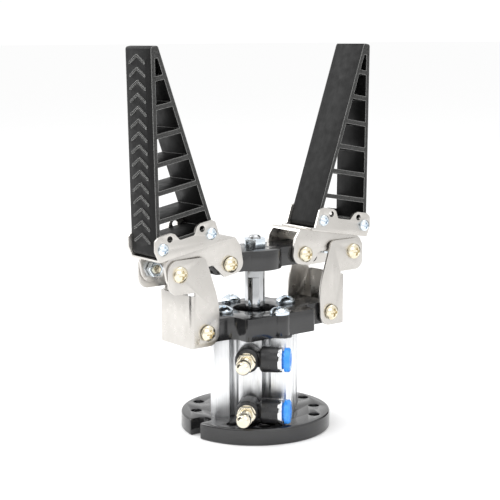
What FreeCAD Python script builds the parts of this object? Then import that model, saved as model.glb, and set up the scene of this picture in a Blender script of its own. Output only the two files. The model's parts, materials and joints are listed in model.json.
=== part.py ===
"""Pneumatic gripper with fin-ray fingers, as a parametric FreeCAD document.

Frame: millimetres, +Z up, origin at the centre of the flange's lower face. The fingers open along X.
The model stands at its rest pose: piston rod fully out, fingers open.
"""
import FreeCAD, Part
import Sketcher
import math
import os

VERTEX_START, VERTEX_END, VERTEX_CENTRE = 1, 2, 3
ORIGIN, H_AXIS, V_AXIS = -1, -1, -2
RIBS = 6
CHEVRONS = 15
GRIP_RIDGES = 4

DIMENSIONS = [
    # base flange
    ("flange_radius", 37.5), ("flange_thick", 8.3), ("flange_edge", 0.6), ("flange_hole", 2.75),
    ("flange_pitch_radius", 31.5), ("flange_inner_pitch", 30.0), ("notch_radius", 4.0),
    ("notch_centre", 32.5), ("counterbore_radius", 4.9), ("counterbore_depth", 5.4),
    # compact air cylinder
    ("body_half", 20.0), ("body_top", 49.2), ("body_corner", 2.4), ("bore_radius", 12.5),
    ("bolt_offset", 14.0), ("bolt_bore", 2.6), ("slot_offset", 8.0), ("slot_half", 2.25),
    ("slot_mouth", 1.3), ("slot_centre", 3.5), ("slot_round", 2.9), ("cap_seat", 13.5),
    ("cap_top", 12.2), ("low_port", 14.8), ("high_port", 40.5), ("port_radius", 2.1),
    ("cover_low", 43.5), ("cover_high", 47.6), ("circlip_radius", 13.2), ("circlip_thick", 1.1),
    # rod and piston
    ("rod_radius", 5.0), ("rod_foot", 42.9), ("rod_top", 80.8), ("flat_depth", 1.0),
    ("flat_low", 76.0), ("spigot_radius", 3.0), ("piston_low", 33.5), ("piston_land", 39.6),
    ("piston_radius", 12.35), ("piston_neck", 8.0), ("stud_top", 97.0),
    # lower bracket
    ("bracket_top", 60.2), ("bracket_x", 21.5), ("bracket_y", 22.3), ("bracket_round", 2.4),
    ("bracket_bore", 11.0), ("boss_radius", 5.0), ("bolt_ring", 19.8), ("tongue_half", 11.2),
    ("tongue_fillet", 4.5),
    # crosshead
    ("hub_radius", 13.4), ("hub_top", 90.8), ("arm_half", 9.4), ("arm_low", 81.3), ("arm_high", 90.8),
    ("arm_reach", 33.0),
    # pivots, in the plane of motion
    ("low_pivot_x", 38.9), ("low_pivot_z", 54.9), ("head_pivot_x", 23.5), ("head_pivot_z", 86.1),
    ("link_pivot_x", 54.2), ("link_pivot_z", 84.8), ("pin_radius", 2.0), ("pin_play", 0.05),
    ("open_pivot_play", 1.0), ("side_gap", 0.3), ("sheet_thick", 1.5),
    # links
    ("link_outer_y", 13.25), ("link_thick", 1.2), ("link_web_x", 48.2), ("link_low", 48.2),
    ("link_web_top", 73.6),
    ("link_head_low", 75.2), ("link_head_top", 91.6), ("link_head_x", 60.5), ("link_inner_x", 31.4),
    ("link_waist_z", 68.0), ("link_top_x", 39.4),
    # levers, finger brackets and fingers share one tilted frame
    ("tilt", 10.2), ("finger_x", 48.5), ("finger_z", 99.5), ("plate_low", -6.9), ("plate_mid", -5.4),
    ("plate_top", -4.2), ("lever_outer_y", 11.2), ("ear_outer_y", 11.85), ("tray_thick", 1.2),
    ("finger_half_y", 10.6), ("finger_base", 17.6), ("finger_tip", 1.9), ("finger_length", 92.0),
    ("slab_top", 3.2), ("wall", 2.0), ("first_rib", 13.0), ("rib_pitch", 12.9), ("rib_half", 1.1),
    ("ear_screw_in", -13.7), ("ear_screw_out", 14.3), ("ear_screw_w", 0.3), ("ear_hole_in", -9.0),
    ("ear_hole_out", 9.6), ("ear_hole_w", 4.0), ("ear_hole_radius", 1.5), ("ear_pin", 1.5),
    ("plate_screw_in", -7.0), ("plate_screw_out", 4.0), ("plate_hole", 2.1), ("plate_head_room", 4.2),
    # chevrons on the gripping faces
    ("chevron_pitch", 5.9), ("chevron_half", 6.2), ("chevron_rise", 3.5), ("chevron_width", 1.0),
    ("chevron_proud", 0.6), ("chevron_first", 7.1), ("chevron_shift", 1.0),
    # push-in elbows with flow control
    ("seat", 0.7), ("ring_low", 1.0), ("ring_high", 13.0), ("ring_radius", 5.9), ("stem_radius", 3.4),
    ("swivel_play", 0.08), ("elbow_out", 7.4), ("barrel_radius", 6.2), ("barrel_start", 6.0),
    ("barrel_end", 14.9), ("neck_radius", 3.9), ("tube_radius", 3.1), ("tube_stop", 5.6),
    ("collar_end", 16.9), ("release_start", 17.8), ("release_end", 20.8), ("needle_radius", 2.3),
    ("knob_radius", 3.5), ("grip_radius", 3.0), ("knob_low", 22.6), ("knob_high", 27.6),
]

doc = FreeCAD.newDocument("pneumatic_gripper")
sheet = doc.addObject("Spreadsheet::Sheet", "Dimensions")
for row, (alias, value) in enumerate(DIMENSIONS, 1):
    sheet.set(f"A{row}", alias)
    sheet.set(f"B{row}", str(value))
    sheet.setAlias(f"B{row}", alias)
doc.recompute()


class Size:
    """A length together with the spreadsheet formula that gives it."""

    def __init__(self, value, formula=None):
        self.value = float(value)
        self.formula = formula or f"({value})"

    @staticmethod
    def of(item):
        return item if isinstance(item, Size) else Size(item)

    def join(self, other, sign, value):
        return Size(value, f"({self.formula} {sign} {other.formula})")

    def __add__(self, other):
        other = Size.of(other)
        return self.join(other, "+", self.value + other.value)

    def __sub__(self, other):
        other = Size.of(other)
        return self.join(other, "-", self.value - other.value)

    def __mul__(self, other):
        other = Size.of(other)
        return self.join(other, "*", self.value * other.value)

    def __neg__(self):
        return self * -1

    def __radd__(self, other):
        return Size.of(other) + self

    def __rsub__(self, other):
        return Size.of(other) - self


class Cells:
    """Reads a driving dimension by its alias."""

    def __getattr__(self, alias):
        return Size(getattr(sheet, alias), f"Dimensions.{alias}")


d = Cells()
NODES = []


def bind(thing, path, size):
    thing.setExpression(path, Size.of(size).formula)


def node(thing, label):
    """Marks an object as one of the gripper's pieces and labels it."""
    thing.Label = label
    NODES.append(thing)
    return thing


# ---------------------------------------------------------------- PartDesign helpers

def new_body(label):
    return doc.addObject("PartDesign::Body", label)


def sketch_on(body, plane, shift=(0, 0, 0), turn=None):
    """A sketch on an origin plane; shift is in the sketch's own axes, turn is (axis, size)."""
    sketch = body.newObject("Sketcher::SketchObject", f"{body.Name}_sketch")
    origin_plane = [item for item in body.Origin.OriginFeatures if item.Role == plane][0]
    sketch.AttachmentSupport = [(origin_plane, "")]
    sketch.MapMode = "FlatFace"
    if turn:
        axis, angle = turn
        base = FreeCAD.Vector(*[Size.of(item).value for item in shift])
        rotation = FreeCAD.Rotation(FreeCAD.Vector(*axis), angle.value)
        sketch.AttachmentOffset = FreeCAD.Placement(base, rotation)
        bind(sketch, "AttachmentOffset.Rotation.Angle", angle)
    for name, item in zip("xyz", shift):
        bind(sketch, f"AttachmentOffset.Base.{name}", item)
    return sketch


def pin(sketch, index, vertex, x, y):
    """Holds a vertex at (x, y), each bound to its formula."""
    for kind, size, axis in (("DistanceX", Size.of(x), V_AXIS), ("DistanceY", Size.of(y), H_AXIS)):
        if size.value == 0:
            sketch.addConstraint(Sketcher.Constraint("PointOnObject", index, vertex, axis))
            continue
        rule = Sketcher.Constraint(kind, ORIGIN, 1, index, vertex, size.value)
        number = sketch.addConstraint(rule)
        bind(sketch, f"Constraints[{number}]", size)


def polygon(sketch, corners):
    start = len(sketch.Geometry)
    count = len(corners)
    points = [FreeCAD.Vector(Size.of(x).value, Size.of(y).value, 0) for x, y in corners]
    for i in range(count):
        sketch.addGeometry(Part.LineSegment(points[i], points[(i + 1) % count]), False)
    for i in range(count):
        after = start + (i + 1) % count
        sketch.addConstraint(Sketcher.Constraint("Coincident", start + i, VERTEX_END, after, VERTEX_START))
    for i, (x, y) in enumerate(corners):
        pin(sketch, start + i, VERTEX_START, x, y)


def rectangle(sketch, x_low, y_low, x_high, y_high):
    polygon(sketch, [(x_low, y_low), (x_high, y_low), (x_high, y_high), (x_low, y_high)])


def circle(sketch, x, y, radius):
    centre = FreeCAD.Vector(Size.of(x).value, Size.of(y).value, 0)
    radius = Size.of(radius)
    index = sketch.addGeometry(Part.Circle(centre, FreeCAD.Vector(0, 0, 1), radius.value), False)
    number = sketch.addConstraint(Sketcher.Constraint("Radius", index, radius.value))
    bind(sketch, f"Constraints[{number}]", radius)
    pin(sketch, index, VERTEX_CENTRE, x, y)


def pad(body, sketch, length, both_ways=False):
    feature = body.newObject("PartDesign::Pad", f"{body.Name}_pad")
    feature.Profile = sketch
    feature.SideType = "Symmetric" if both_ways else "One side"
    bind(feature, "Length", length)
    doc.recompute()
    return feature


def pocket(body, sketch, length=None, both_ways=False, reverse=False):
    """Cuts a sketch out of a body, and stops if nothing was cut."""
    before = body.Shape.Volume
    feature = body.newObject("PartDesign::Pocket", f"{body.Name}_pocket")
    feature.Profile = sketch
    feature.SideType = "Symmetric" if both_ways else "One side"
    feature.Reversed = reverse
    if length is None:
        feature.Type = "ThroughAll"
    else:
        bind(feature, "Length", length)
    doc.recompute()
    if body.Shape.Volume > before - 0.01:
        raise RuntimeError(f"{feature.Name} cuts nothing")
    return feature


def revolve(body, sketch, groove=False):
    kind = "PartDesign::Groove" if groove else "PartDesign::Revolution"
    feature = body.newObject(kind, f"{body.Name}_turned")
    feature.Profile = sketch
    feature.ReferenceAxis = (sketch, ["V_Axis"])
    feature.Angle = 360
    doc.recompute()
    return feature


def repeat_round(body, feature, count):
    """Polar pattern about Z."""
    axis = [item for item in body.Origin.OriginFeatures if item.Role == "Z_Axis"][0]
    pattern = body.newObject("PartDesign::PolarPattern", f"{body.Name}_pattern")
    pattern.Originals = [feature]
    pattern.Axis = (axis, [""])
    pattern.Angle = 360
    pattern.Occurrences = count
    body.Tip = pattern
    doc.recompute()
    return pattern


def straight_edges(shape, direction, places, near=0.05):
    """Names of straight edges along an axis letter that pass through the given places in the other two."""
    along = "xyz".index(direction)
    across = [i for i in range(3) if i != along]
    found = []
    for number, edge in enumerate(shape.Edges, 1):
        ends = [vertex.Point for vertex in edge.Vertexes]
        if len(ends) != 2 or edge.Curve.TypeId != "Part::GeomLine":
            continue
        if any(abs(ends[0][i] - ends[1][i]) > near for i in across):
            continue
        if any(math.hypot(ends[0][across[0]] - a, ends[0][across[1]] - b) < near for a, b in places):
            found.append(f"Edge{number}")
    return found


def soften(body, names, size, kind="PartDesign::Fillet"):
    """Fillets or chamfers the named edges of the body's tip."""
    if not names:
        raise RuntimeError(f"{body.Name}: no edges to soften")
    tip = body.Tip
    feature = body.newObject(kind, f"{body.Name}_edge")
    feature.Base = (tip, names)
    bind(feature, "Radius" if kind.endswith("Fillet") else "Size", size)
    doc.recompute()
    return feature


def round_corners(body, direction, places, size):
    tip = body.Tip
    numbers = [(Size.of(a).value, Size.of(b).value) for a, b in places]
    names = straight_edges(tip.Shape, direction, numbers)
    feature = body.newObject("PartDesign::Fillet", f"{body.Name}_edge")
    feature.Base = (tip, names)
    bind(feature, "Radius", size)
    doc.recompute()
    if not names or "Invalid" in feature.State:
        raise RuntimeError(f"{body.Name}: corners {numbers} were not rounded")
    return feature


def turned(label, profile):
    """A ring or plug turned about its own Z; profile is a list of (radius, height)."""
    body = new_body(label)
    sketch = sketch_on(body, "XZ_Plane")
    polygon(sketch, profile)
    revolve(body, sketch)
    return body


# ---------------------------------------------------------------- Part helpers

def cylinder(name, radius, height, base=(0, 0, 0), rotation=None):
    solid = doc.addObject("Part::Cylinder", name)
    bind(solid, "Radius", radius)
    bind(solid, "Height", height)
    if rotation:
        solid.Placement.Rotation = rotation
    for axis, item in zip("xyz", base):
        bind(solid, f"Placement.Base.{axis}", item)
    return solid


def cut(name, base, tools):
    result = base
    for i, tool in enumerate(tools):
        step = doc.addObject("Part::Cut", f"{name}_{i}")
        step.Base = result
        step.Tool = tool
        result = step
    return result


def group(label, master, places):
    """Identical fasteners as one node: linked copies of a master, each at its own placement."""
    copies = []
    for base, rotation in places:
        copy = doc.addObject("App::Link", f"{label}_copy")
        copy.LinkedObject = master
        point = FreeCAD.Vector(*[Size.of(item).value for item in base])
        copy.Placement = FreeCAD.Placement(point, rotation)
        for axis, item in zip("xyz", base):
            bind(copy, f"Placement.Base.{axis}", item)
        copies.append(copy)
    whole = doc.addObject("Part::Compound", label)
    whole.Links = copies
    return node(whole, label)


UP = FreeCAD.Rotation()
DOWN = FreeCAD.Rotation(FreeCAD.Vector(1, 0, 0), 180)
HALF_TURN = FreeCAD.Rotation(FreeCAD.Vector(0, 0, 1), 180)
FACE_FRONT = FreeCAD.Rotation(FreeCAD.Vector(1, 0, 0), 90)    # master's +Z to -Y
FACE_BACK = FreeCAD.Rotation(FreeCAD.Vector(1, 0, 0), -90)    # master's +Z to +Y
SQUARE_TURN = FreeCAD.Rotation(FreeCAD.Vector(0, 0, 1), 45)
ROOT_HALF = math.sqrt(0.5)
SIDES = (("right", UP), ("left", HALF_TURN))


def tilted(u, w):
    """World (x, z) of a point given in the tilted frame of lever and finger, right-hand side."""
    angle = math.radians(sheet.tilt)
    u, w = Size.of(u).value, Size.of(w).value
    x = sheet.finger_x + u * math.cos(angle) + w * math.sin(angle)
    return x, sheet.finger_z - u * math.sin(angle) + w * math.cos(angle)


def into_tilted(x, z):
    """Tilted-frame coordinates of a world point, with formulas, for the pivots."""
    dx, dz = x - d.finger_x, z - d.finger_z
    angle = math.radians(sheet.tilt)
    cosine = Size(math.cos(angle), "cos(Dimensions.tilt)")
    sine = Size(math.sin(angle), "sin(Dimensions.tilt)")
    return dx * cosine - dz * sine, dx * sine + dz * cosine


def tilted_sketch(body):
    return sketch_on(body, "XZ_Plane", shift=(d.finger_x, d.finger_z, 0), turn=((0, 0, -1), d.tilt))


def plate_holes(body, radius, low, high):
    """Two holes square to the sloping plate, from height low to height high in the tilted frame."""
    angle = math.radians(sheet.tilt)
    sine = Size(math.sin(angle), "sin(Dimensions.tilt)")
    cosine = Size(math.cos(angle), "cos(Dimensions.tilt)")
    foot = (d.finger_x + low * sine, 0, d.finger_z + low * cosine)
    sketch = sketch_on(body, "XY_Plane", shift=foot, turn=((0, 1, 0), d.tilt))
    circle(sketch, d.plate_screw_in, 0, radius)
    circle(sketch, d.plate_screw_out, 0, radius)
    pocket(body, sketch, high - low, reverse=True)


# ---------------------------------------------------------------- fastener masters

def screw_master(name, shank, length, head, rise, arm, depth):
    """Pan-head screw: seat at z = 0, shank below, domed head above with a cross recess."""
    body = new_body(name)
    sketch = sketch_on(body, "XZ_Plane")
    flat = rise * 0.35
    corners = [(0, -length), (shank, -length), (shank, 0), (head, 0), (head, flat)]
    for first, second in zip(corners, corners[1:]):
        sketch.addGeometry(Part.LineSegment(FreeCAD.Vector(*first, 0), FreeCAD.Vector(*second, 0)), False)
    crown = rise - flat
    sphere = (head * head + crown * crown) / (2 * crown)
    half_way = math.asin(head / sphere) / 2
    middle = FreeCAD.Vector(sphere * math.sin(half_way), rise - sphere + sphere * math.cos(half_way), 0)
    dome = Part.Arc(FreeCAD.Vector(head, flat, 0), middle, FreeCAD.Vector(0, rise, 0))
    arc = sketch.addGeometry(dome, False)
    centre_line = Part.LineSegment(FreeCAD.Vector(0, rise, 0), FreeCAD.Vector(0, -length, 0))
    axis = sketch.addGeometry(centre_line, False)
    last = len(corners) - 2
    for i in range(last):
        sketch.addConstraint(Sketcher.Constraint("Coincident", i, VERTEX_END, i + 1, VERTEX_START))
    sketch.addConstraint(Sketcher.Constraint("Coincident", last, VERTEX_END, arc, VERTEX_START))
    sketch.addConstraint(Sketcher.Constraint("Coincident", arc, VERTEX_END, axis, VERTEX_START))
    sketch.addConstraint(Sketcher.Constraint("Coincident", axis, VERTEX_END, 0, VERTEX_START))
    revolve(body, sketch)
    cross = sketch_on(body, "XY_Plane", shift=(0, 0, rise))
    wide, thin = arm, arm * 0.3
    polygon(cross, [(-wide, -thin), (-thin, -thin), (-thin, -wide), (thin, -wide), (thin, -thin),
                    (wide, -thin), (wide, thin), (thin, thin), (thin, wide), (-thin, wide), (-thin, thin),
                    (-wide, thin)])
    pocket(body, cross, depth)
    return body


def socket_screw_master(name, shank, length, head, rise, key):
    """Cap-head screw with a round head and a hexagon socket."""
    body = turned(name, [(0, -length), (shank, -length), (shank, 0), (head, 0), (head, rise), (0, rise)])
    socket = sketch_on(body, "XY_Plane", shift=(0, 0, rise))
    turns = [math.radians(60 * i) for i in range(6)]
    corners = [(key * math.cos(turn), key * math.sin(turn)) for turn in turns]
    polygon(socket, corners)
    pocket(body, socket, rise * 0.55)
    return body


def nut_master(name, bore, flats, height):
    """Hexagon nut standing on z = 0."""
    prism = doc.addObject("Part::Prism", f"{name}_prism")
    prism.Polygon = 6
    bind(prism, "Circumradius", Size.of(flats) * (1 / math.sqrt(3)))
    bind(prism, "Height", height)
    hole = cylinder(f"{name}_hole", bore, Size.of(height) + 2, base=(0, 0, -1))
    return cut(name, prism, [hole])


# ---------------------------------------------------------------- base

def mounting_flange():
    body = new_body("mounting_flange")
    disc = sketch_on(body, "XY_Plane")
    circle(disc, 0, 0, d.flange_radius)
    pad(body, disc, d.flange_thick)
    edges = enumerate(body.Tip.Shape.Edges, 1)
    rims = [f"Edge{n}" for n, edge in edges if edge.Curve.TypeId == "Part::GeomCircle"]
    soften(body, rims, d.flange_edge, "PartDesign::Chamfer")
    outer = sketch_on(body, "XY_Plane", shift=(0, 0, d.flange_thick))
    half, tall = 0.5, math.sqrt(0.75)
    pitch = d.flange_pitch_radius
    circle(outer, pitch, 0, d.flange_hole)
    for x_sign in (1, -1):
        for y_sign in (1, -1):
            circle(outer, pitch * (half * x_sign), pitch * (tall * y_sign), d.flange_hole)
            circle(outer, d.flange_inner_pitch * (tall * x_sign), d.flange_inner_pitch * (half * y_sign),
                   d.flange_hole)
    for x, y in ((1, 0), (0, 1), (-1, 0), (0, -1)):
        circle(outer, d.bolt_ring * x, d.bolt_ring * y, d.flange_hole)
    pocket(body, outer)
    seats = sketch_on(body, "XY_Plane")
    for x, y in ((1, 0), (0, 1), (-1, 0), (0, -1)):
        circle(seats, d.bolt_ring * x, d.bolt_ring * y, d.counterbore_radius)
    pocket(body, seats, d.counterbore_depth, reverse=True)
    notch_end = sketch_on(body, "XY_Plane", shift=(0, 0, d.flange_thick))
    circle(notch_end, -d.notch_centre, 0, d.notch_radius)
    pocket(body, notch_end)
    notch = sketch_on(body, "XY_Plane", shift=(0, 0, d.flange_thick))
    rectangle(notch, -(d.flange_radius + 1), -d.notch_radius, -d.notch_centre, d.notch_radius)
    pocket(body, notch)
    return node(body, "mounting_flange")


def cylinder_body():
    """Square extrusion turned 45 degrees, with two sensor slots on each face, bore and ports."""
    body = new_body("cylinder_body")
    square = sketch_on(body, "XY_Plane", shift=(0, 0, d.flange_thick))
    half = d.body_half
    rectangle(square, -half, -half, half, half)
    pad(body, square, d.body_top - d.flange_thick)
    value = sheet.body_half
    corners = [(x * value, y * value) for x in (1, -1) for y in (1, -1)]
    names = straight_edges(body.Tip.Shape, "z", corners)
    soften(body, names, d.body_corner, "PartDesign::Chamfer")
    slots = sketch_on(body, "XY_Plane", shift=(0, 0, d.body_top))
    for side in (1, -1):
        centre = d.slot_offset * side
        rectangle(slots, centre - d.slot_half, half - d.slot_mouth - 1, centre + d.slot_half, half + 1)
    first = pocket(body, slots)
    repeat_round(body, first, 4)
    rounds = sketch_on(body, "XY_Plane", shift=(0, 0, d.body_top))
    for side in (1, -1):
        circle(rounds, d.slot_offset * side, half - d.slot_centre, d.slot_round)
    second = pocket(body, rounds)
    repeat_round(body, second, 4)
    holes = sketch_on(body, "XY_Plane", shift=(0, 0, d.body_top))
    circle(holes, 0, 0, d.bore_radius)
    for x in (1, -1):
        for y in (1, -1):
            circle(holes, d.bolt_offset * x, d.bolt_offset * y, d.bolt_bore)
    pocket(body, holes)
    cap_seat = sketch_on(body, "XY_Plane", shift=(0, 0, d.flange_thick))
    circle(cap_seat, 0, 0, d.cap_seat)
    pocket(body, cap_seat, d.cap_top - d.flange_thick, reverse=True)
    groove = sketch_on(body, "XY_Plane", shift=(0, 0, d.cover_high + d.circlip_thick))
    circle(groove, 0, 0, d.circlip_radius)
    pocket(body, groove, d.circlip_thick)
    ports = sketch_on(body, "YZ_Plane", shift=(0, 0, -half - 1))
    circle(ports, 0, d.low_port, d.port_radius)
    circle(ports, 0, d.high_port, d.port_radius)
    pocket(body, ports, half - d.bore_radius + 3, reverse=True)
    body.Placement = FreeCAD.Placement(FreeCAD.Vector(), SQUARE_TURN)
    return node(body, "cylinder_body")


def cylinder_internals():
    bore, rod = d.bore_radius, d.rod_radius
    foot = d.flange_thick
    cap = turned("rear_cap", [(0, foot), (d.cap_seat, foot), (d.cap_seat, foot + 0.9),
                              (d.cap_seat - 1.2, foot + 0.9), (d.cap_seat - 1.2, foot + 2.3),
                              (d.cap_seat, foot + 2.3), (d.cap_seat, d.cap_top), (0, d.cap_top)])
    node(cap, "rear_cap")
    seal = ring_seal("rear_cap_seal", d.cap_seat - 0.6, 0.55, d.flange_thick + 1.6)
    cover = turned("rod_cover", [(rod + 1.4, d.cover_low), (bore, d.cover_low), (bore, d.cover_low + 1.0),
                                 (bore - 1.2, d.cover_low + 1.0), (bore - 1.2, d.cover_low + 2.4),
                                 (bore, d.cover_low + 2.4), (bore, d.cover_high),
                                 (rod + 0.5, d.cover_high), (rod + 0.5, d.cover_high - 0.5),
                                 (rod + 1.4, d.cover_high - 0.5)])
    node(cover, "rod_cover")
    ring_seal("rod_cover_seal", bore - 0.6, 0.55, d.cover_low + 1.7)
    bush_top = d.cover_low + 2.2
    bush = turned("rod_bush", [(rod + d.pin_play, d.cover_low), (rod + 1.4, d.cover_low),
                               (rod + 1.4, bush_top), (rod + d.pin_play, bush_top)])
    node(bush, "rod_bush")
    lip = turned("rod_seal", [(rod + 0.1, bush_top + 0.1), (rod + 1.35, bush_top + 0.1),
                              (rod + 1.35, d.cover_high - 0.55), (rod + 0.6, d.cover_high - 0.55),
                              (rod + 0.1, d.cover_high - 0.9)])
    node(lip, "rod_seal")
    clip = new_body("rod_circlip")
    outline = sketch_on(clip, "XY_Plane", shift=(0, 0, d.cover_high))
    circle(outline, 0, 0, d.circlip_radius)
    circle(outline, 0, 0, d.circlip_radius - 2.2)
    pad(clip, outline, d.circlip_thick)
    gap = sketch_on(clip, "XY_Plane", shift=(0, 0, d.cover_high + d.circlip_thick))
    rectangle(gap, -2.2, 5, 2.2, d.circlip_radius + 2)
    pocket(clip, gap)
    node(clip, "rod_circlip")


def ring_seal(label, major, minor, height):
    torus = doc.addObject("Part::Torus", label)
    bind(torus, "Radius1", major)
    bind(torus, "Radius2", minor)
    bind(torus, "Placement.Base.z", height)
    return node(torus, label)


def lower_bracket():
    """Black plate on the cylinder: a screw-boss block with two tongues that carry the lower pivots."""
    body = new_body("lower_bracket")
    thick = d.bracket_top - d.body_top
    block = sketch_on(body, "XY_Plane", shift=(0, 0, d.body_top))
    x, y, t = d.bracket_x, d.bracket_y, d.tongue_half
    reach = d.low_pivot_x
    polygon(block, [(-x, -y), (x, -y), (x, -t), (reach, -t), (reach, t), (x, t), (x, y), (-x, y), (-x, t),
                    (-reach, t), (-reach, -t), (-x, -t)])
    pad(body, block, thick)
    round_corners(body, "z", [(x * i, y * j) for i in (1, -1) for j in (1, -1)], d.bracket_round)
    round_corners(body, "z", [(x * i, t * j) for i in (1, -1) for j in (1, -1)], d.tongue_fillet)
    bosses = sketch_on(body, "XY_Plane", shift=(0, 0, d.body_top))
    circle(bosses, 0, d.bolt_ring, d.boss_radius)
    circle(bosses, 0, -d.bolt_ring, d.boss_radius)
    pad(body, bosses, thick)
    ends = sketch_on(body, "XZ_Plane")
    end_radius = thick * 0.5
    for side in (1, -1):
        circle(ends, reach * side, d.body_top + end_radius, end_radius)
    pad(body, ends, t * 2, both_ways=True)
    holes = sketch_on(body, "XY_Plane", shift=(0, 0, d.bracket_top))
    circle(holes, 0, 0, d.bracket_bore)
    for i, j in ((1, 0), (0, 1), (-1, 0), (0, -1)):
        circle(holes, d.bolt_ring * i, d.bolt_ring * j, d.bolt_bore)
    pocket(body, holes)
    pivots = sketch_on(body, "XZ_Plane")
    for side in (1, -1):
        circle(pivots, reach * side, d.low_pivot_z, d.pin_radius)
    pocket(body, pivots, both_ways=True)
    return node(body, "lower_bracket")


# ---------------------------------------------------------------- rod assembly

def rod_assembly():
    rod = turned("piston_rod", [(0, d.piston_low), (d.spigot_radius, d.piston_low),
                                (d.spigot_radius, d.rod_foot), (d.rod_radius, d.rod_foot),
                                (d.rod_radius, d.rod_top),
                                (d.spigot_radius, d.rod_top), (d.spigot_radius, d.stud_top - 0.8),
                                (d.spigot_radius - 0.8, d.stud_top), (0, d.stud_top)])
    flats = sketch_on(rod, "XY_Plane", shift=(0, 0, d.flat_low), turn=((0, 0, 1), Size(45)))
    reach = d.rod_radius + 1
    for side in (1, -1):
        near = (d.rod_radius - d.flat_depth) * side
        rectangle(flats, near, -reach, reach * side, reach)
    pocket(rod, flats, d.rod_top - d.flat_low, reverse=True)
    node(rod, "piston_rod")
    groove = d.piston_radius - 2.4
    piston = turned("piston", [(d.spigot_radius, d.piston_low), (d.piston_radius, d.piston_low),
                               (d.piston_radius, d.piston_low + 1.0), (groove, d.piston_low + 1.0),
                               (groove, d.piston_low + 3.6), (d.piston_radius, d.piston_low + 3.6),
                               (d.piston_radius, d.piston_low + 4.4), (groove, d.piston_low + 4.4),
                               (groove, d.piston_low + 5.6), (d.piston_radius, d.piston_low + 5.6),
                               (d.piston_radius, d.piston_land), (d.piston_neck, d.piston_land),
                               (d.piston_neck, d.rod_foot), (d.spigot_radius, d.rod_foot)])
    node(piston, "piston")
    ring_seal("piston_seal", d.piston_radius - 1.2, 1.2, d.piston_low + 2.3)
    rim = d.piston_radius - 0.2
    magnet = turned("piston_magnet", [(groove, d.piston_low + 4.4), (rim, d.piston_low + 4.4),
                                      (rim, d.piston_low + 5.6), (groove, d.piston_low + 5.6)])
    node(magnet, "piston_magnet")


def crosshead():
    """Black bar on the rod: a round hub with two arms that carry the levers."""
    body = new_body("crosshead")
    arms = sketch_on(body, "XZ_Plane")
    reach = d.arm_reach
    rectangle(arms, -reach, d.arm_low, reach, d.arm_high)
    pad(body, arms, d.arm_half * 2, both_ways=True)
    round_corners(body, "y", [(reach * i, level) for i in (1, -1) for level in (d.arm_low, d.arm_high)], 3.2)
    hub = sketch_on(body, "XY_Plane", shift=(0, 0, d.rod_top))
    circle(hub, 0, 0, d.hub_radius)
    pad(body, hub, d.hub_top - d.rod_top)
    stud = sketch_on(body, "XY_Plane", shift=(0, 0, d.hub_top))
    circle(stud, 0, 0, d.spigot_radius)
    pocket(body, stud)
    pivots = sketch_on(body, "XZ_Plane")
    for side in (1, -1):
        circle(pivots, d.head_pivot_x * side, d.head_pivot_z, d.pin_radius)
    pocket(body, pivots, both_ways=True)
    node(body, "crosshead")
    nut = nut_master("crosshead_nut", d.spigot_radius, 10, d.stud_top - d.hub_top - 1.6)
    bind(nut, "Placement.Base.z", d.hub_top)
    node(nut, "crosshead_nut")


# ---------------------------------------------------------------- links, levers, finger brackets, fingers

def link(side, turn):
    """U-shaped sheet link: outer web, two side plates and heads that reach out to the upper pivot."""
    body = new_body(f"{side}_link")
    outline = sketch_on(body, "XZ_Plane")
    relief = d.link_web_x - 2.6
    low_left = d.low_pivot_x - 6.7
    polygon(outline, [(low_left, d.link_low), (d.link_web_x, d.link_low), (d.link_web_x, d.link_web_top),
                      (relief, d.link_web_top), (relief, d.link_head_low), (d.link_head_x, d.link_head_low),
                      (d.link_head_x, d.link_head_top), (d.link_top_x, d.link_head_top),
                      (d.link_inner_x, d.link_waist_z)])
    pad(body, outline, d.link_outer_y * 2, both_ways=True)
    inner_y = d.link_outer_y - d.link_thick
    channel = sketch_on(body, "XZ_Plane")
    inner_web = d.link_web_x - d.link_thick
    polygon(channel, [(0, 0), (inner_web, 0), (inner_web, d.link_web_top), (100, d.link_web_top), (100, 120),
                      (0, 120)])
    pocket(body, channel, inner_y * 2, both_ways=True)
    round_corners(body, "y", [(low_left, d.link_low)], 6.0)
    round_corners(body, "y", [(d.link_inner_x, d.link_waist_z)], 40)
    round_corners(body, "y", [(d.link_head_x, d.link_head_low), (d.link_head_x, d.link_head_top)], 5)
    round_corners(body, "y", [(d.link_top_x, d.link_head_top)], 3)
    outer_y = d.link_outer_y
    round_corners(body, "z", [(d.link_web_x, outer_y), (d.link_web_x, -outer_y)], 1.9)
    holes = sketch_on(body, "XZ_Plane")
    circle(holes, d.low_pivot_x, d.low_pivot_z, d.pin_radius + d.pin_play)
    circle(holes, d.link_pivot_x, d.link_pivot_z, d.pin_radius)
    pocket(body, holes, both_ways=True)
    body.Placement.Rotation = turn
    return node(body, f"{side}_link")


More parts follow.
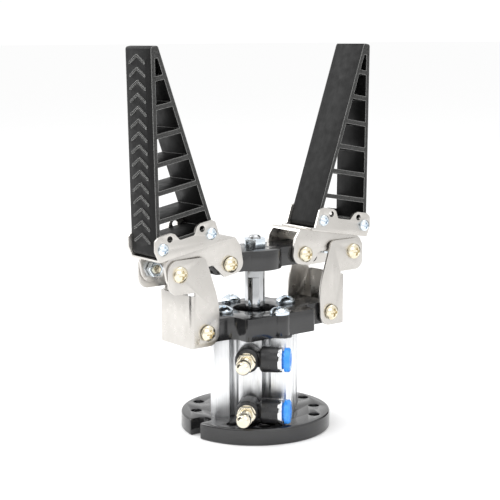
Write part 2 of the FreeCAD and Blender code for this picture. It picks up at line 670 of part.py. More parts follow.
def lever(side, turn):
    """Folded sheet lever: a sloping top plate with two side flanges around the crosshead arm."""
    body = new_body(f"{side}_lever")
    head_u, head_w = into_tilted(d.head_pivot_x, d.head_pivot_z)
    link_u, link_w = into_tilted(d.link_pivot_x, d.link_pivot_z)
    low_inner = head_w - 5.2
    low_outer = link_w - 6.0
    notch_w = link_w - 1.6
    end_u = link_u + 6.3
    corners = [(head_u - 5.4, d.plate_mid), (head_u - 7.8, d.plate_mid - 5.1), (head_u - 7.6, low_inner),
               (head_u + 4.4, low_inner), (head_u + 10.2, notch_w), (link_u - 6.6, notch_w),
               (link_u - 4.6, low_outer), (end_u, low_outer), (end_u, d.plate_mid)]
    outline = tilted_sketch(body)
    polygon(outline, corners)
    pad(body, outline, d.lever_outer_y * 2, both_ways=True)
    places = [tilted(*corner) for corner in corners]
    round_corners(body, "y", [places[2], places[7]], 5.0)
    round_corners(body, "y", [places[3], places[4], places[5], places[6]], 1.6)
    round_corners(body, "y", [places[8]], 4.0)
    inside = tilted_sketch(body)
    rectangle(inside, head_u - 20, low_inner - 20, end_u + 20, d.plate_low)
    inner_y = d.lever_outer_y - d.sheet_thick
    pocket(body, inside, inner_y * 2, both_ways=True)
    holes = tilted_sketch(body)
    circle(holes, head_u, head_w, d.pin_radius + d.pin_play)
    circle(holes, link_u, link_w, d.pin_radius + d.open_pivot_play)
    pocket(body, holes, both_ways=True)
    plate_holes(body, d.plate_hole, d.plate_low - 1, d.plate_mid + 1)
    body.Placement.Rotation = turn
    return node(body, f"{side}_lever")


def finger_bracket(side, turn):
    """Sheet tray under a finger: a base plate and two side strips, each with two ears."""
    body = new_body(f"{side}_finger_bracket")
    ear_top = d.ear_hole_w + 2.8
    strip_top = d.ear_screw_w + 1.9
    corners = [(-21, d.plate_mid), (17.2, d.plate_mid), (18.6, d.ear_screw_w), (17.6, ear_top - 1.6),
               (15.0, ear_top), (8.6, ear_top), (6.4, ear_top - 1.2), (4.2, strip_top), (-4.2, strip_top),
               (-6.2, ear_top - 1.0), (-8.2, ear_top), (-15.0, ear_top), (-17.2, ear_top - 1.4),
               (-18.6, d.plate_top + 0.4), (-21, d.plate_top)]
    outline = tilted_sketch(body)
    polygon(outline, corners)
    pad(body, outline, d.ear_outer_y * 2, both_ways=True)
    places = [tilted(*corner) for corner in corners]
    round_corners(body, "y", places[2:13], 1.3)
    tray = tilted_sketch(body)
    rectangle(tray, -30, d.plate_top, 30, 20)
    inner_y = d.ear_outer_y - d.tray_thick
    pocket(body, tray, inner_y * 2, both_ways=True)
    holes = tilted_sketch(body)
    for u, w, radius in ((d.ear_screw_in, d.ear_screw_w, d.ear_pin),
                         (d.ear_screw_out, d.ear_screw_w, d.ear_pin),
                         (d.ear_hole_in, d.ear_hole_w, d.ear_hole_radius),
                         (d.ear_hole_out, d.ear_hole_w, d.ear_hole_radius)):
        circle(holes, u, w, radius)
    pocket(body, holes, both_ways=True)
    plate_holes(body, d.plate_hole, d.plate_mid - 1, d.plate_top + 1)
    body.Placement.Rotation = turn
    return node(body, f"{side}_finger_bracket")


def finger_half_width(w):
    """Half-width of the finger's triangle at height w."""
    slope = (d.finger_base - d.finger_tip).value / (d.finger_length - d.plate_top).value
    return d.finger_base - (Size.of(w) - d.plate_top) * slope


def fin_ray_finger(side, turn):
    """Soft triangular finger with cross ribs, and raised chevrons on its outward face."""
    body = new_body(f"{side}_finger")
    outline = tilted_sketch(body)
    base, tip = d.finger_base, d.finger_tip
    corners = [(-base, d.plate_top), (base, d.plate_top), (tip, d.finger_length), (-tip, d.finger_length)]
    polygon(outline, corners)
    pad(body, outline, d.finger_half_y * 2, both_ways=True)
    round_corners(body, "y", [tilted(*corners[0]), tilted(*corners[1])], 2.6)
    round_corners(body, "y", [tilted(*corners[2]), tilted(*corners[3])], 1.3)
    cells = tilted_sketch(body)
    levels = [d.slab_top]
    for rib in range(RIBS):
        middle = d.first_rib + d.rib_pitch * rib
        levels += [middle - d.rib_half, middle + d.rib_half]
    levels.append(d.finger_length - 5.5)
    for low, high in zip(levels[0::2], levels[1::2]):
        wide, narrow = finger_half_width(low) - d.wall, finger_half_width(high) - d.wall
        polygon(cells, [(-wide, low), (wide, low), (narrow, high), (-narrow, high)])
    pocket(body, cells, both_ways=True)
    screw_holes = tilted_sketch(body)
    circle(screw_holes, d.ear_screw_in, d.ear_screw_w, d.ear_pin)
    circle(screw_holes, d.ear_screw_out, d.ear_screw_w, d.ear_pin)
    pocket(body, screw_holes, both_ways=True)
    plate_holes(body, d.plate_head_room, d.plate_top - 1, d.slab_top - 1)
    chevrons(body)
    body.Placement.Rotation = turn
    return node(body, f"{side}_finger")


def chevrons(body):
    """One raised chevron on the outward wall, repeated up the wall."""
    run = (d.finger_length - d.plate_top).value
    lean = sheet.tilt - math.degrees(math.atan((d.finger_base - d.finger_tip).value / run))
    foot_x, foot_z = tilted(d.finger_base, d.plate_top)
    wall = sketch_on(body, "YZ_Plane", shift=(0, foot_z, foot_x - 0.3), turn=((1, 0, 0), Size(lean)))
    half, rise, width, first = d.chevron_half, d.chevron_rise, d.chevron_width, d.chevron_first
    middle = d.chevron_shift * -1
    polygon(wall, [(middle - half, first), (middle, first + rise), (middle + half, first),
                   (middle + half, first + width), (middle, first + rise + width),
                   (middle - half, first + width)])
    ridge = pad(body, wall, d.chevron_proud + 0.3)
    pattern = body.newObject("PartDesign::LinearPattern", f"{body.Name}_row")
    pattern.Originals = [ridge]
    pattern.Direction = (wall, ["V_Axis"])
    pattern.Occurrences = CHEVRONS
    bind(pattern, "Length", d.chevron_pitch * (CHEVRONS - 1))
    body.Tip = pattern
    doc.recompute()


# ---------------------------------------------------------------- push-in elbows

def fitting_rotation():
    """Local +X along the tube axis, local +Z out of the port face, local +Y up."""
    along = FreeCAD.Vector(ROOT_HALF, -ROOT_HALF, 0)
    out = FreeCAD.Vector(-ROOT_HALF, -ROOT_HALF, 0)
    return FreeCAD.Rotation(along, FreeCAD.Vector(0, 0, 1), out, "XZY")


def put_on_port(thing, level):
    thing.Placement = FreeCAD.Placement(FreeCAD.Vector(), fitting_rotation())
    foot = d.body_half * -ROOT_HALF
    for axis, item in zip("xyz", (foot, foot, level)):
        bind(thing, f"Placement.Base.{axis}", item)


def along_tube(body, profile, groove=False):
    """Revolves (distance along the tube, radius) pairs about the tube axis."""
    sketch = sketch_on(body, "XZ_Plane", shift=(0, d.elbow_out, 0))
    polygon(sketch, profile)
    kind = "PartDesign::Groove" if groove else "PartDesign::Revolution"
    feature = body.newObject(kind, f"{body.Name}_turned")
    feature.Profile = sketch
    feature.ReferenceAxis = (sketch, ["H_Axis"])
    feature.Angle = 360
    doc.recompute()
    return feature


def elbow(side, level):
    """Banjo ring, neck and barrel in one moulding, with a stepped tube socket."""
    body = new_body(f"{side}_elbow")
    ring = sketch_on(body, "XZ_Plane")
    polygon(ring, [(0, d.ring_low), (d.ring_radius - 0.5, d.ring_low), (d.ring_radius, d.ring_low + 0.5),
                   (d.ring_radius, d.ring_high - 1.2), (d.ring_radius - 1.2, d.ring_high), (0, d.ring_high)])
    revolve(body, ring)
    start, end = d.barrel_start, d.barrel_end
    along_tube(body, [(3, 0), (end, 0), (end, d.barrel_radius), (start + 1.0, d.barrel_radius),
                      (start, d.barrel_radius - 1.0), (start, d.neck_radius), (3, d.neck_radius)])
    stop = d.tube_stop
    along_tube(body, [(stop, 0), (end + 1, 0), (end + 1, 4.75), (end - 4.1, 4.75), (end - 4.1, 4.3),
                      (end - 6.4, 4.3), (end - 6.4, d.tube_radius), (stop, d.tube_radius)], groove=True)
    bore = sketch_on(body, "XY_Plane", shift=(0, 0, d.ring_high))
    circle(bore, 0, 0, d.stem_radius + d.swivel_play)
    pocket(body, bore)
    put_on_port(body, level)
    node(body, f"{side}_elbow")


def fitting(side, level):
    elbow(side, level)
    end = d.barrel_end
    gasket = turned(f"{side}_gasket", [(2.4, 0), (4.6, 0), (4.6, d.seat), (2.4, d.seat)])
    stem_head = d.ring_high + 0.2
    stem = turned(f"{side}_stem", [(0.9, -5), (2.1, -5), (2.1, 0), (2.4, 0), (2.4, d.seat),
                                   (d.stem_radius, d.seat),
                                   (d.stem_radius, stem_head), (4.5, stem_head), (4.5, stem_head + 0.8),
                                   (d.needle_radius + 0.06, stem_head + 0.8), (d.needle_radius + 0.06, 5),
                                   (0.9, 5)])
    nut = nut_master(f"{side}_lock_nut", d.needle_radius + 0.06, 8.0, 3.0)
    grip_low = stem_head + 4.0
    valley = d.grip_radius - 0.5
    thread = [(0, 6), (d.needle_radius, 6), (d.needle_radius, grip_low), (valley, grip_low)]
    pitch = (d.knob_low - grip_low) * (1 / GRIP_RIDGES)
    for turn in range(GRIP_RIDGES):
        foot = grip_low + pitch * turn
        thread += [(d.grip_radius, foot + pitch * 0.5), (valley, foot + pitch)]
    thread += [(d.knob_radius - 0.4, d.knob_low),
               (d.knob_radius, d.knob_low + 0.4), (d.knob_radius, d.knob_high - 1.8),
               (d.knob_radius - 0.5, d.knob_high - 0.7), (d.knob_radius - 1.5, d.knob_high), (0, d.knob_high)]
    knob = turned(f"{side}_flow_knob", thread)
    for thing in (gasket, stem, knob):
        put_on_port(thing, level)
        node(thing, thing.Name)
    put_on_port(nut, level)
    lift = d.body_half + stem_head + 0.8
    for axis in "xy":
        bind(nut, f"Placement.Base.{axis}", lift * -ROOT_HALF)
    node(nut, f"{side}_lock_nut")
    rings = (("tube_seal", [(end - 6.2, d.tube_radius), (end - 4.5, d.tube_radius), (end - 4.5, 4.25),
                            (end - 6.2, 4.25)]),
             ("grab_ring", [(end - 4.05, d.tube_radius + 0.05), (end - 3.5, d.tube_radius + 0.3),
                            (end - 3.5, 4.7), (end - 4.05, 4.7)]),
             ("end_collar", [(end, 4.75), (d.collar_end, 4.75), (d.collar_end, 5.9),
                             (d.collar_end - 0.3, 6.2), (end, 6.2)]),
             ("release_ring", [(end - 2.4, d.tube_radius + 0.05), (end - 2.4, 4.45), (d.release_start, 4.45),
                               (d.release_start, 5.9), (d.release_end - 0.8, 5.9), (d.release_end, 5.1),
                               (d.release_end, d.tube_radius + 0.05)]))
    for name, profile in rings:
        body = new_body(f"{side}_{name}")
        along_tube(body, profile)
        put_on_port(body, level)
        node(body, f"{side}_{name}")


# ---------------------------------------------------------------- fasteners

def tilted_point(side_sign, u, w, y):
    x, z = tilted(u, w)
    return x * side_sign, y, z


def fasteners():
    bolt = screw_master("bolt_master", shank=2.5, length=20.0, head=4.9, rise=3.7, arm=2.7, depth=2.2)
    ring = d.bolt_ring
    top = d.bracket_top
    spins = [FreeCAD.Rotation(FreeCAD.Vector(0, 0, 1), angle) for angle in (12, 50, 75, 33)]
    spots = ((ring, 0), (0, ring), (-ring, 0), (0, -ring))
    group("bracket_screws", bolt, [((x, y, top), spin) for (x, y), spin in zip(spots, spins)])
    cap = socket_screw_master("cap_master", shank=2.5, length=12.0, head=4.25, rise=4.6, key=2.3)
    under = d.counterbore_depth
    group("flange_screws", cap, [((x, y, under), DOWN) for x, y in spots])
    short = screw_master("pivot_master", shank=2.0, length=9.0, head=3.85, rise=2.8, arm=2.1, depth=1.7)
    low_seat = d.link_outer_y + d.side_gap
    head_seat = d.lever_outer_y + d.side_gap
    lows, heads = [], []
    for sign in (1, -1):
        lows += [((d.low_pivot_x * sign, -low_seat, d.low_pivot_z), FACE_FRONT),
                 ((d.low_pivot_x * sign, low_seat, d.low_pivot_z), FACE_BACK)]
        heads += [((d.head_pivot_x * sign, -head_seat, d.head_pivot_z), FACE_FRONT),
                  ((d.head_pivot_x * sign, head_seat, d.head_pivot_z), FACE_BACK)]
    group("lower_pivot_screws", short, lows)
    group("crosshead_pivot_screws", short, heads)
    pin_screw = screw_master("link_screw_master", shank=2.0, length=7.6, head=3.85, rise=2.8, arm=2.1,
                             depth=1.7)
    pin_nut = nut_master("link_nut_master", d.pin_radius, flats=7.0, height=3.0)
    small = screw_master("ear_screw_master", shank=1.5, length=7.0, head=2.9, rise=2.1, arm=1.6, depth=1.3)
    plate_screw = screw_master("plate_screw_master", shank=2.0, length=6.4, head=3.6, rise=2.2, arm=1.9,
                               depth=1.2)
    plate_nut = nut_master("plate_nut_master", d.pin_radius, flats=7.0, height=3.0)
    nut_seat = d.lever_outer_y - d.sheet_thick - d.side_gap
    for side, sign in (("right", 1), ("left", -1)):
        x, z = d.link_pivot_x * sign, d.link_pivot_z
        outer = d.link_outer_y
        group(f"{side}_link_screws", pin_screw, [((x, -outer, z), FACE_FRONT), ((x, outer, z), FACE_BACK)])
        group(f"{side}_link_nuts", pin_nut, [((x, -nut_seat, z), FACE_BACK), ((x, nut_seat, z), FACE_FRONT)])
        places = []
        for u in (d.ear_screw_in, d.ear_screw_out):
            for y, facing in ((-d.ear_outer_y.value, FACE_FRONT), (d.ear_outer_y.value, FACE_BACK)):
                places.append((tilted_point(sign, u, d.ear_screw_w, y), facing))
        group(f"{side}_finger_screws", small, places)
        lean = FreeCAD.Rotation(FreeCAD.Vector(0, 1, 0), sheet.tilt * sign)
        seats, feet = [], []
        for u in (d.plate_screw_in, d.plate_screw_out):
            seats.append((tilted_point(sign, u, d.plate_top, 0), lean))
            feet.append((tilted_point(sign, u, d.plate_low, 0), lean.multiply(DOWN)))
        group(f"{side}_plate_screws", plate_screw, seats)
        group(f"{side}_plate_nuts", plate_nut, feet)


# ---------------------------------------------------------------- build, check and write

def problems():
    found = []
    for thing in doc.Objects:
        if {"Invalid", "Error"} & set(thing.State):
            found.append(f"{thing.Name} is {thing.State}")
    for thing in NODES:
        if thing.Shape.isNull() or not thing.Shape.isValid():
            found.append(f"{thing.Label} has no valid shape")
        elif thing.Shape.Volume <= 0 or not thing.Shape.Solids:
            found.append(f"{thing.Label} is not solid")
    return found


mounting_flange()
cylinder_body()
cylinder_internals()
lower_bracket()
rod_assembly()
crosshead()
for side_name, rotation in SIDES:
    link(side_name, rotation)
    lever(side_name, rotation)
    finger_bracket(side_name, rotation)
    fin_ray_finger(side_name, rotation)
for side_name, port_level in (("lower", d.low_port), ("upper", d.high_port)):
    fitting(side_name, port_level)
fasteners()
doc.recompute()

faults = problems()
if faults:
    raise SystemExit("\n".join(faults))
os.makedirs("parts", exist_ok=True)
for piece in NODES:
    piece.Shape.exportStep(os.path.join("parts", f"{piece.Label}.step"))
    print(piece.Label, len(piece.Shape.Solids), round(piece.Shape.Volume, 1))
print(len(NODES), "nodes")
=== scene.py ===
import json
import math

import bmesh
import bpy
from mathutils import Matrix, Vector


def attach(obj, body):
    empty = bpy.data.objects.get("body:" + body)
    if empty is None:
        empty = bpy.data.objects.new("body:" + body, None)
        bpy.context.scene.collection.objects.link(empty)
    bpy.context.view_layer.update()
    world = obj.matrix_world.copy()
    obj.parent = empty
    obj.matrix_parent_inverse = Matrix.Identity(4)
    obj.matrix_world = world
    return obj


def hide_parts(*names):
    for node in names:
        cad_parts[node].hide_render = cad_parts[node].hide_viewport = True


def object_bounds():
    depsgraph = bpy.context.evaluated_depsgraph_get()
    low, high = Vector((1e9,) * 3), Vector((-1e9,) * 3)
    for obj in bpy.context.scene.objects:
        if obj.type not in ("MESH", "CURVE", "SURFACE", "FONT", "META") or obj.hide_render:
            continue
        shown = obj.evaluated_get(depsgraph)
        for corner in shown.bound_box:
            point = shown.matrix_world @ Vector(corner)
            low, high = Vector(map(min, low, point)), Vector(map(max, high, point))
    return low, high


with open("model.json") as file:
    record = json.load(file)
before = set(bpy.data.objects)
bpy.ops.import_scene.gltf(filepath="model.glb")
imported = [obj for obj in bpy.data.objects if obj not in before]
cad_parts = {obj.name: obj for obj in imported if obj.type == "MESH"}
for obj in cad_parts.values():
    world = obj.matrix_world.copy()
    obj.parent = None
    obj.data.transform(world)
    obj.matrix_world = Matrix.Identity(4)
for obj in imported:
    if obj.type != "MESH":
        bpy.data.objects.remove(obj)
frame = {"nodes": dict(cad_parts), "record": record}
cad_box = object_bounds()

MM = 0.001
SEED_STEP = 7.3
RECORD = frame["record"]
SLOT_OF = {part["node"]: part["material_slot"] for part in RECORD["subparts"]}
BODY_OF = {name: body for body, names in RECORD["behaviour"]["bodies"].items() for name in names}


# ---------------------------------------------------------------- camera, floor and light

CAMERA_AZIMUTH = math.radians(-37.65)
CAMERA_ELEVATION = math.radians(9.26)
CAMERA_DISTANCE = 0.650
CAMERA_LENS = 94.4
CAMERA_ROLL = math.radians(-0.29)
AIM_BESIDE_AXIS = -2.9 * MM
AIM_HEIGHT_SHARE = 0.471
STUDIO_BRIGHTNESS = 1.03
FLOOR_SIZE = 60


def direction(azimuth, elevation):
    """Unit vector towards a viewer who stands at that azimuth and elevation."""
    flat = math.cos(elevation)
    return Vector((math.sin(azimuth) * flat, -math.cos(azimuth) * flat, math.sin(elevation)))


def aim_point():
    low, high = cad_box
    return Vector((AIM_BESIDE_AXIS, 0, low[2] + (high[2] - low[2]) * AIM_HEIGHT_SHARE))


def add_camera():
    data = bpy.data.cameras.new("camera")
    data.lens = CAMERA_LENS
    camera = bpy.data.objects.new("camera", data)
    toward = direction(CAMERA_AZIMUTH, CAMERA_ELEVATION)
    camera.location = aim_point() + toward * CAMERA_DISTANCE
    turn = toward.to_track_quat("Z", "Y").to_matrix().to_4x4()
    camera.rotation_euler = turn.to_euler()
    camera.rotation_euler.rotate_axis("Z", CAMERA_ROLL)
    bpy.context.scene.collection.objects.link(camera)
    bpy.context.scene.camera = camera


def add_softbox(name, azimuth, elevation, distance, size, power):
    data = bpy.data.lights.new(name, "AREA")
    data.shape = "RECTANGLE"
    data.size, data.size_y = size
    data.energy = power
    light = bpy.data.objects.new(name, data)
    toward = direction(math.radians(azimuth), math.radians(elevation))
    light.location = aim_point() + toward * distance
    light.rotation_euler = toward.to_track_quat("Z", "Y").to_euler()
    bpy.context.scene.collection.objects.link(light)


def add_flag(name, azimuth, elevation, distance, width, height):
    """A black card beside the set that only reflections show."""
    bpy.ops.mesh.primitive_plane_add(size=1)
    card = bpy.context.object
    card.name = name
    card.scale = (width, height, 1)
    toward = direction(math.radians(azimuth), math.radians(elevation))
    card.location = aim_point() + toward * distance
    card.rotation_euler = toward.to_track_quat("Z", "Y").to_euler()
    felt = Shader(f"{name}_felt", Roughness=1.0)
    felt.set_value("Specular IOR Level", 0.0)
    felt.colour(felt.blend(felt.noise(60), (0.004, 0.004, 0.004), (0.008, 0.008, 0.008)))
    card.data.materials.append(felt.material)
    card.visible_camera = False
    card.visible_diffuse = False
    card.visible_shadow = False


def add_studio():
    world = bpy.data.worlds.new("studio")
    world.use_nodes = True
    world.node_tree.nodes["Background"].inputs["Color"].default_value = (1.0, 1.0, 1.0, 1)
    world.node_tree.nodes["Background"].inputs["Strength"].default_value = STUDIO_BRIGHTNESS
    bpy.context.scene.world = world
    bpy.context.scene.view_settings.view_transform = "Standard"
    add_softbox("key_light", -95, 38, 1.1, (0.7, 0.9), 4)
    add_softbox("front_light", -15, 30, 1.3, (0.9, 0.6), 2.5)
    add_softbox("top_light", 60, 75, 1.2, (0.8, 0.8), 2.5)
    add_softbox("left_rim_light", -142, 32, 1.1, (0.6, 0.6), 5)
    add_flag("left_flag", -92, 8, 0.38, 0.42, 0.4)
    add_flag("right_flag", 100, 8, 0.38, 0.14, 0.4)
    bpy.ops.mesh.primitive_plane_add(size=FLOOR_SIZE)
    floor = bpy.context.object
    floor.name = "floor"
    paint = Shader("pale_floor")
    grain = paint.noise(90, 2)
    paint.set_value("Specular IOR Level", 0.0)
    paint.colour(paint.blend(grain, (0.93, 0.93, 0.93), (0.96, 0.96, 0.96)))
    paint.set_value("Roughness", 0.9)
    floor.data.materials.append(paint.material)


# ---------------------------------------------------------------- shader nodes

class Shader:
    """A node material built up in small steps; distances are in metres on the object itself."""

    count = 0

    def __init__(self, name, **values):
        Shader.count += 1
        self.seed = Shader.count * SEED_STEP
        self.material = bpy.data.materials.new(name)
        self.material.use_nodes = True
        self.tree = self.material.node_tree
        self.surface = self.tree.nodes["Principled BSDF"]
        self.place = self.add("ShaderNodeTexCoord").outputs["Object"]
        for label, value in values.items():
            self.set_value(label.replace("_", " "), value)

    def socket(self, name):
        return self.surface.inputs[name]

    def set_value(self, name, value):
        self.socket(name).default_value = value

    def add(self, kind, **settings):
        node = self.tree.nodes.new(kind)
        for name, value in settings.items():
            setattr(node, name, value)
        return node

    def join(self, source, target):
        self.tree.links.new(source, target)

    def stretched(self, stretch):
        mapping = self.add("ShaderNodeMapping")
        mapping.inputs["Location"].default_value = (self.seed, self.seed * 0.5, self.seed * 0.25)
        mapping.inputs["Scale"].default_value = stretch
        self.join(self.place, mapping.inputs["Vector"])
        return mapping.outputs["Vector"]

    def noise(self, scale, detail=3.0, stretch=(1, 1, 1)):
        texture = self.add("ShaderNodeTexNoise")
        texture.inputs["Scale"].default_value = scale
        texture.inputs["Detail"].default_value = detail
        self.join(self.stretched(stretch), texture.inputs["Vector"])
        return texture.outputs["Fac"]

    def ranged(self, value, low, high, start=0.3, end=0.7):
        remap = self.add("ShaderNodeMapRange")
        self.join(value, remap.inputs["Value"])
        for name, number in (("From Min", start), ("From Max", end), ("To Min", low), ("To Max", high)):
            remap.inputs[name].default_value = number
        return remap.outputs["Result"]

    def blend(self, factor, first, second):
        """Colour from first to second; either may be a colour or another node's output."""
        mix = self.add("ShaderNodeMix", data_type="RGBA")
        self.join(factor, mix.inputs["Factor"])
        for name, colour in (("A", first), ("B", second)):
            target = [item for item in mix.inputs if item.name == name and item.type == "RGBA"][0]
            if isinstance(colour, tuple):
                target.default_value = (*colour, 1)
            else:
                self.join(colour, target)
        return [item for item in mix.outputs if item.type == "RGBA"][0]

    def times(self, first, second):
        product = self.add("ShaderNodeMath", operation="MULTIPLY")
        self.join(first, product.inputs[0])
        self.join(second, product.inputs[1])
        return product.outputs[0]

    def edge_mask(self, radius):
        """1 along edges, 0 on open faces: edge wear on the black anodised parts, painted edge highlights on
        the sheet steel and the fingers.
        """
        bevel = self.add("ShaderNodeBevel", samples=6)
        bevel.inputs["Radius"].default_value = radius
        true = self.add("ShaderNodeNewGeometry").outputs["Normal"]
        agreement = self.add("ShaderNodeVectorMath", operation="DOT_PRODUCT")
        self.join(bevel.outputs["Normal"], agreement.inputs[0])
        self.join(true, agreement.inputs[1])
        return self.ranged(agreement.outputs["Value"], 1.0, 0.0, 0.80, 0.985)

    def facing_y(self):
        """1 on the two flat sides, which stay square to Y however the piece swings; the finger paints its
        sheen there.
        """
        normal = self.add("ShaderNodeSeparateXYZ")
        self.join(self.add("ShaderNodeNewGeometry").outputs["True Normal"], normal.inputs[0])
        size = self.add("ShaderNodeMath", operation="ABSOLUTE")
        self.join(normal.outputs["Y"], size.inputs[0])
        return self.ranged(size.outputs[0], 0.0, 1.0, 0.90, 0.98)

    def colour(self, output):
        self.join(output, self.socket("Base Color"))

    def roughness(self, output):
        self.join(output, self.socket("Roughness"))

    def relief(self, *layers):
        """Stacks bumps, each (height output, strength, depth in metres)."""
        normal = None
        for height, strength, depth in layers:
            bump = self.add("ShaderNodeBump")
            bump.inputs["Strength"].default_value = strength
            bump.inputs["Distance"].default_value = depth
            self.join(height, bump.inputs["Height"])
            if normal:
                self.join(normal, bump.inputs["Normal"])
            normal = bump.outputs["Normal"]
        self.join(normal, self.socket("Normal"))


# ---------------------------------------------------------------- finishes, one for each material slot

def black_anodised():
    s = Shader("black_anodised", Metallic=0.0, IOR=1.62)
    mottled = s.blend(s.ranged(s.noise(140), 0, 1), (0.010, 0.010, 0.0105), (0.019, 0.019, 0.020))
    worn = s.times(s.edge_mask(0.35 * MM), s.ranged(s.noise(900, 4), 0.0, 1.0, 0.35, 0.65))
    s.colour(s.blend(worn, mottled, (0.12, 0.12, 0.125)))
    s.roughness(s.ranged(s.noise(420, 4), 0.12, 0.22))
    s.relief((s.noise(5200, 2), 0.10, 0.02 * MM), (s.noise(700, 2, (1, 1, 12)), 0.05, 0.02 * MM))
    return s.material


def clear_anodised():
    """Extruded along Z, so its fine die lines run up the faces."""
    s = Shader("clear_anodised", Metallic=1.0)
    lines = s.noise(2400, 3, (1, 1, 0.006))
    s.colour(s.blend(s.ranged(lines, 0, 1), (0.76, 0.77, 0.78), (0.88, 0.89, 0.90)))
    s.roughness(s.ranged(s.noise(260, 3), 0.30, 0.42))
    s.relief((lines, 0.10, 0.02 * MM), (s.noise(6200, 2), 0.08, 0.01 * MM))
    return s.material


def sheet_steel():
    s = Shader("sheet_steel", Metallic=1.0)
    smudged = s.blend(s.ranged(s.noise(75, 4), 0, 1), (0.55, 0.53, 0.50), (0.62, 0.60, 0.57))
    # Every edge and bend of the steel is painted near-white: a painted edge highlight, not wear.
    s.colour(s.blend(s.edge_mask(0.3 * MM), smudged, (0.90, 0.89, 0.86)))
    s.roughness(s.ranged(s.noise(330, 5), 0.25, 0.40))
    s.relief((s.noise(1500, 4, (1, 1, 9)), 0.07, 0.02 * MM), (s.noise(4300, 2), 0.08, 0.01 * MM))
    return s.material


def plated(name, pale, deep, smooth, rough):
    """Bright plating whose colour drifts a little across each screw or ring."""
    s = Shader(name, Metallic=1.0)
    s.colour(s.blend(s.ranged(s.noise(520, 3), 0, 1), pale, deep))
    s.roughness(s.ranged(s.noise(1300, 4), smooth, rough))
    s.relief((s.noise(3600, 3), 0.12, 0.02 * MM))
    return s.material


def rod_chrome():
    """Ground round the rod, so the finest lines circle it."""
    s = Shader("rod_chrome", Metallic=1.0)
    rings = s.noise(5200, 2, (0.02, 0.02, 1))
    s.colour(s.blend(s.ranged(s.noise(120, 3), 0, 1), (0.46, 0.47, 0.48), (0.54, 0.55, 0.56)))
    s.roughness(s.ranged(rings, 0.05, 0.13))
    s.relief((rings, 0.04, 0.01 * MM))
    return s.material


def fitting_black():
    s = Shader("fitting_black", Metallic=0.0, IOR=1.52)
    s.set_value("Specular IOR Level", 0.50)
    s.colour(s.blend(s.ranged(s.noise(210), 0, 1), (0.009, 0.009, 0.010), (0.016, 0.016, 0.017)))
    s.roughness(s.ranged(s.noise(800, 4), 0.26, 0.38))
    s.relief((s.noise(3800, 2), 0.14, 0.02 * MM))
    return s.material


def release_blue():
    s = Shader("release_blue", Metallic=0.0, IOR=1.49, Subsurface_Weight=0.25)
    s.set_value("Subsurface Radius", (0.4 * MM, 0.9 * MM, 2.2 * MM))
    s.set_value("Subsurface Scale", 1.0)
    s.colour(s.blend(s.ranged(s.noise(420, 3), 0, 1), (0.03, 0.25, 0.80), (0.07, 0.36, 0.93)))
    s.roughness(s.ranged(s.noise(900, 3), 0.16, 0.28))
    s.relief((s.noise(2600, 2), 0.08, 0.02 * MM))
    return s.material


def finger_rubber():
    """Printed on its side: layers stack along Y, so their lines run along every sloping face."""
    s = Shader("finger_rubber", Metallic=0.0, IOR=1.50)
    s.set_value("Specular IOR Level", 0.15)
    layers = s.noise(1700, 2, (0.03, 1, 0.03))
    dark = s.blend(s.ranged(layers, 0, 1), (0.003, 0.003, 0.003), (0.007, 0.007, 0.007))
    # The flat sides facing Y get a lighter grainy tone: painted sheen standing in for the key light's
    # reflection, with grain in it; the layered walls keep the dark tone.
    painted_sheen_grain = s.blend(s.ranged(s.noise(2600, 3), 0, 1), (0.014, 0.014, 0.014), (0.075, 0.075, 0.073))
    body_tone = s.blend(s.facing_y(), dark, painted_sheen_grain)
    # Edges are painted light grey: a painted highlight along the chevron ridges and other edges.
    s.colour(s.blend(s.edge_mask(0.5 * MM), body_tone, (0.42, 0.42, 0.41)))
    s.roughness(s.ranged(s.noise(260, 4), 0.40, 0.56))
    s.relief((layers, 0.28, 0.10 * MM), (s.noise(3000, 2), 0.12, 0.02 * MM))
    return s.material


def seal_rubber():
    s = Shader("seal_rubber", Metallic=0.0)
    s.colour(s.blend(s.ranged(s.noise(600), 0, 1), (0.012, 0.012, 0.012), (0.024, 0.024, 0.024)))
    s.roughness(s.ranged(s.noise(1400, 3), 0.5, 0.68))
    s.relief((s.noise(4200, 2), 0.2, 0.02 * MM))
    return s.material


FINISHES = {
    "black_anodised": black_anodised(),
    "clear_anodised": clear_anodised(),
    "sheet_steel": sheet_steel(),
    "zinc_screw": plated("zinc_screw", (0.80, 0.86, 0.90), (0.66, 0.74, 0.82), 0.10, 0.24),
    "yellow_zinc": plated("yellow_zinc", (0.88, 0.83, 0.68), (0.78, 0.69, 0.50), 0.14, 0.28),
    "nickel_brass": plated("nickel_brass", (0.86, 0.82, 0.70), (0.78, 0.70, 0.54), 0.14, 0.28),
    "rod_chrome": rod_chrome(),
    "fitting_black": fitting_black(),
    "release_blue": release_blue(),
    "collar_metal": plated("collar_metal", (0.90, 0.91, 0.92), (0.80, 0.81, 0.83), 0.08, 0.20),
    "finger_rubber": finger_rubber(),
    "seal_rubber": seal_rubber(),
    "piston_metal": plated("piston_metal", (0.78, 0.79, 0.80), (0.66, 0.67, 0.68), 0.24, 0.40),
    "magnet": plated("magnet", (0.12, 0.12, 0.13), (0.07, 0.07, 0.08), 0.40, 0.60),
    "bush_bronze": plated("bush_bronze", (0.66, 0.47, 0.25), (0.50, 0.34, 0.18), 0.30, 0.50),
}


# ---------------------------------------------------------------- rounded copies of the visible pieces

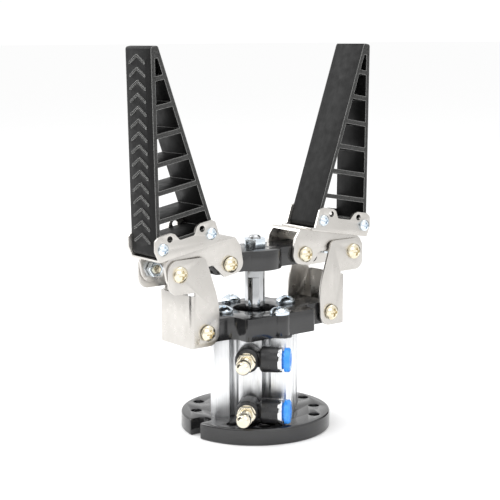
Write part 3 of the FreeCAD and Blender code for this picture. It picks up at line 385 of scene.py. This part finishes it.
WELD = 0.0005 * MM
FLAT_ANGLE = math.radians(0.6)
CREASE_ANGLE = math.radians(28)
SMOOTH_ANGLE = math.radians(32)
EDGE_STEPS = 2
EDGE_ROUND = {
    "mounting_flange": 0.25, "cylinder_body": 0.2, "lower_bracket": 0.45, "crosshead": 0.5,
    "link": 0.22, "lever": 0.22, "finger_bracket": 0.2, "finger": 0.12, "elbow": 0.2,
    "bracket_screws": 0.12, "lower_pivot_screws": 0.1, "crosshead_pivot_screws": 0.1, "link_screws": 0.1,
    "finger_screws": 0.08, "link_nuts": 0.15, "lock_nut": 0.2, "flow_knob": 0.12, "end_collar": 0.1,
    "release_ring": 0.2, "piston_rod": 0.1, "crosshead_nut": 0.2, "stem": 0.1,
}


def edge_round(node):
    """The widest that this piece's edges may be broken, or None for a hidden piece left plain."""
    bare = node
    for prefix in ("left_", "right_", "upper_", "lower_"):
        if node not in EDGE_ROUND and node.startswith(prefix):
            bare = node[len(prefix):]
    return EDGE_ROUND.get(bare)


def rounded_piece(node, width):
    """A copy with broken edges, narrower than asked where the mesh is fine; fingers keep their triangles."""
    source = frame["nodes"][node]
    shape = bmesh.new()
    shape.from_mesh(source.data)
    bmesh.ops.remove_doubles(shape, verts=shape.verts, dist=WELD)
    if not node.endswith("_finger"):
        bmesh.ops.dissolve_limit(shape, angle_limit=FLAT_ANGLE, verts=shape.verts, edges=shape.edges)
    mesh = bpy.data.meshes.new(f"{node}_fine")
    shape.to_mesh(mesh)
    shape.free()
    mesh.materials.clear()
    mesh.materials.append(FINISHES[SLOT_OF[node]])
    piece = bpy.data.objects.new(f"{node}_fine", mesh)
    bpy.context.scene.collection.objects.link(piece)
    bevel = piece.modifiers.new("broken_edges", "BEVEL")
    bevel.width = width * MM
    bevel.segments = EDGE_STEPS
    bevel.limit_method = "ANGLE"
    bevel.angle_limit = CREASE_ANGLE
    bevel.use_clamp_overlap = True
    bevel.miter_outer = "MITER_ARC"
    bpy.context.view_layer.objects.active = piece
    bpy.ops.object.select_all(action="DESELECT")
    piece.select_set(True)
    bpy.ops.object.modifier_apply(modifier=bevel.name)
    bpy.ops.object.shade_smooth_by_angle(angle=SMOOTH_ANGLE)
    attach(piece, BODY_OF[node])
    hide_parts(node)


add_camera()
add_studio()
for name, cad_piece in frame["nodes"].items():
    cad_piece.data.materials.clear()
    cad_piece.data.materials.append(FINISHES[SLOT_OF[name]])
    if edge_round(name):
        rounded_piece(name, edge_round(name))
